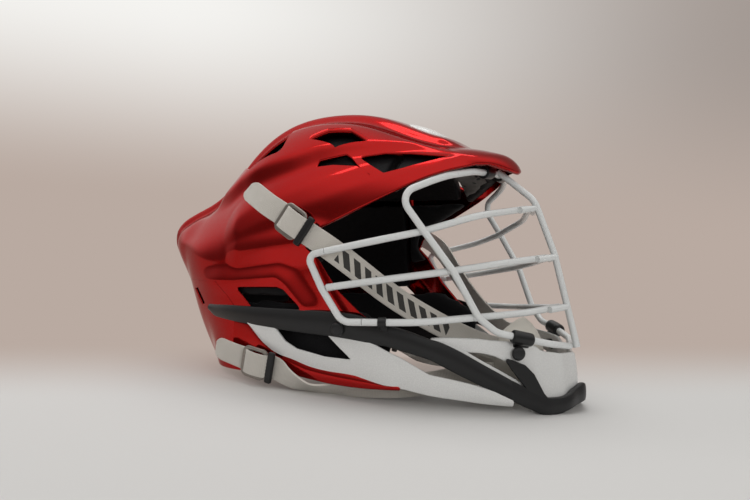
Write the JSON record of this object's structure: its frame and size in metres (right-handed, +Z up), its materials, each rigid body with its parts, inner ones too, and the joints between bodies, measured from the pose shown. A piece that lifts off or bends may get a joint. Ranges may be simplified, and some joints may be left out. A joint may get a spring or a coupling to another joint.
{
  "type": "lacrosse helmet",
  "caption": "Ribbed hard-shell sport helmet with a welded wire face cage, jaw guards, foam liner and a press-stud chin strap with a cup.",
  "frame": {"origin": "middle of the bounding box, on the surface that the helmet rests on", "axes": "+X to the front of the helmet, +Z up, -Y to the wearer's right"},
  "size_m": [0.3524, 0.227, 0.2007],
  "materials": {
    "shell": "high gloss metallic",
    "badge": "gloss",
    "trim": "satin",
    "guard": "gloss",
    "cage": "gloss powder coat",
    "clip": "satin",
    "screw": "black oxide",
    "liner": "matte bead foam",
    "pad": "matte knitted cover",
    "webbing": "woven",
    "steel": "nickel plated",
    "lock": "satin",
    "cup": "satin"
  },
  "bodies": {
    "helmet": {"outer_shell": "shell", "rear_shell": "shell", "front_badge": "badge", "chin_trim": "trim", "chin_guard": "guard", "cage_side_bar": "cage", "cage_top_bar": "cage", "cage_center_bar": "cage", "cage_upper_bar": "cage", "cage_middle_bar": "cage", "cage_lower_bar": "cage", "chin_screws": "screw", "side_screws": "screw", "crown_liner": "liner", "rear_liner": "liner", "brow_liner": "liner", "crown_pad": "pad", "rear_pad": "pad", "brow_pad": "pad", "nape_pad": "pad", "snap_studs": "steel", "visor_clips": "clip", "chin_cup": "cup", "chin_cup_pad": "pad", "side_trim_right": "trim", "side_trim_left": "trim", "jaw_guard_right": "guard", "jaw_guard_left": "guard", "cage_rear_bar_right": "cage", "cage_rear_bar_left": "cage", "chin_clip_right": "clip", "chin_clip_left": "clip", "side_clip_right": "clip", "side_clip_left": "clip", "side_liner_right": "liner", "side_liner_left": "liner", "temple_pad_right": "pad", "temple_pad_left": "pad", "jaw_pad_right": "pad", "jaw_pad_left": "pad", "upper_strap_right": "webbing", "upper_strap_left": "webbing", "lower_strap_right": "webbing", "lower_strap_left": "webbing"},
    "upper_snap_right": {"upper_ring_right": "steel", "upper_lock_right": "lock", "upper_socket_right": "steel", "upper_webbing_right": "webbing"},
    "upper_snap_left": {"upper_ring_left": "steel", "upper_lock_left": "lock", "upper_socket_left": "steel", "upper_webbing_left": "webbing"},
    "lower_snap_right": {"lower_ring_right": "steel", "lower_lock_right": "lock", "lower_socket_right": "steel", "lower_webbing_right": "webbing"},
    "lower_snap_left": {"lower_ring_left": "steel", "lower_lock_left": "lock", "lower_socket_left": "steel", "lower_webbing_left": "webbing"}
  },
  "joints": [
    {"name": "upper_snap_release_right", "type": "slide", "parent": "helmet", "child": "upper_snap_right", "axis": [-0.03, -0.985, 0.17], "range_m": [0, 0.008]},
    {"name": "upper_snap_release_left", "type": "slide", "parent": "helmet", "child": "upper_snap_left", "axis": [-0.03, 0.985, 0.17], "range_m": [0, 0.008]},
    {"name": "lower_snap_release_right", "type": "slide", "parent": "helmet", "child": "lower_snap_right", "axis": [-0.0601, -0.9969, -0.0501], "range_m": [0, 0.008]},
    {"name": "lower_snap_release_left", "type": "slide", "parent": "helmet", "child": "lower_snap_left", "axis": [-0.0601, 0.9969, -0.0501], "range_m": [0, 0.008]}
  ]
}
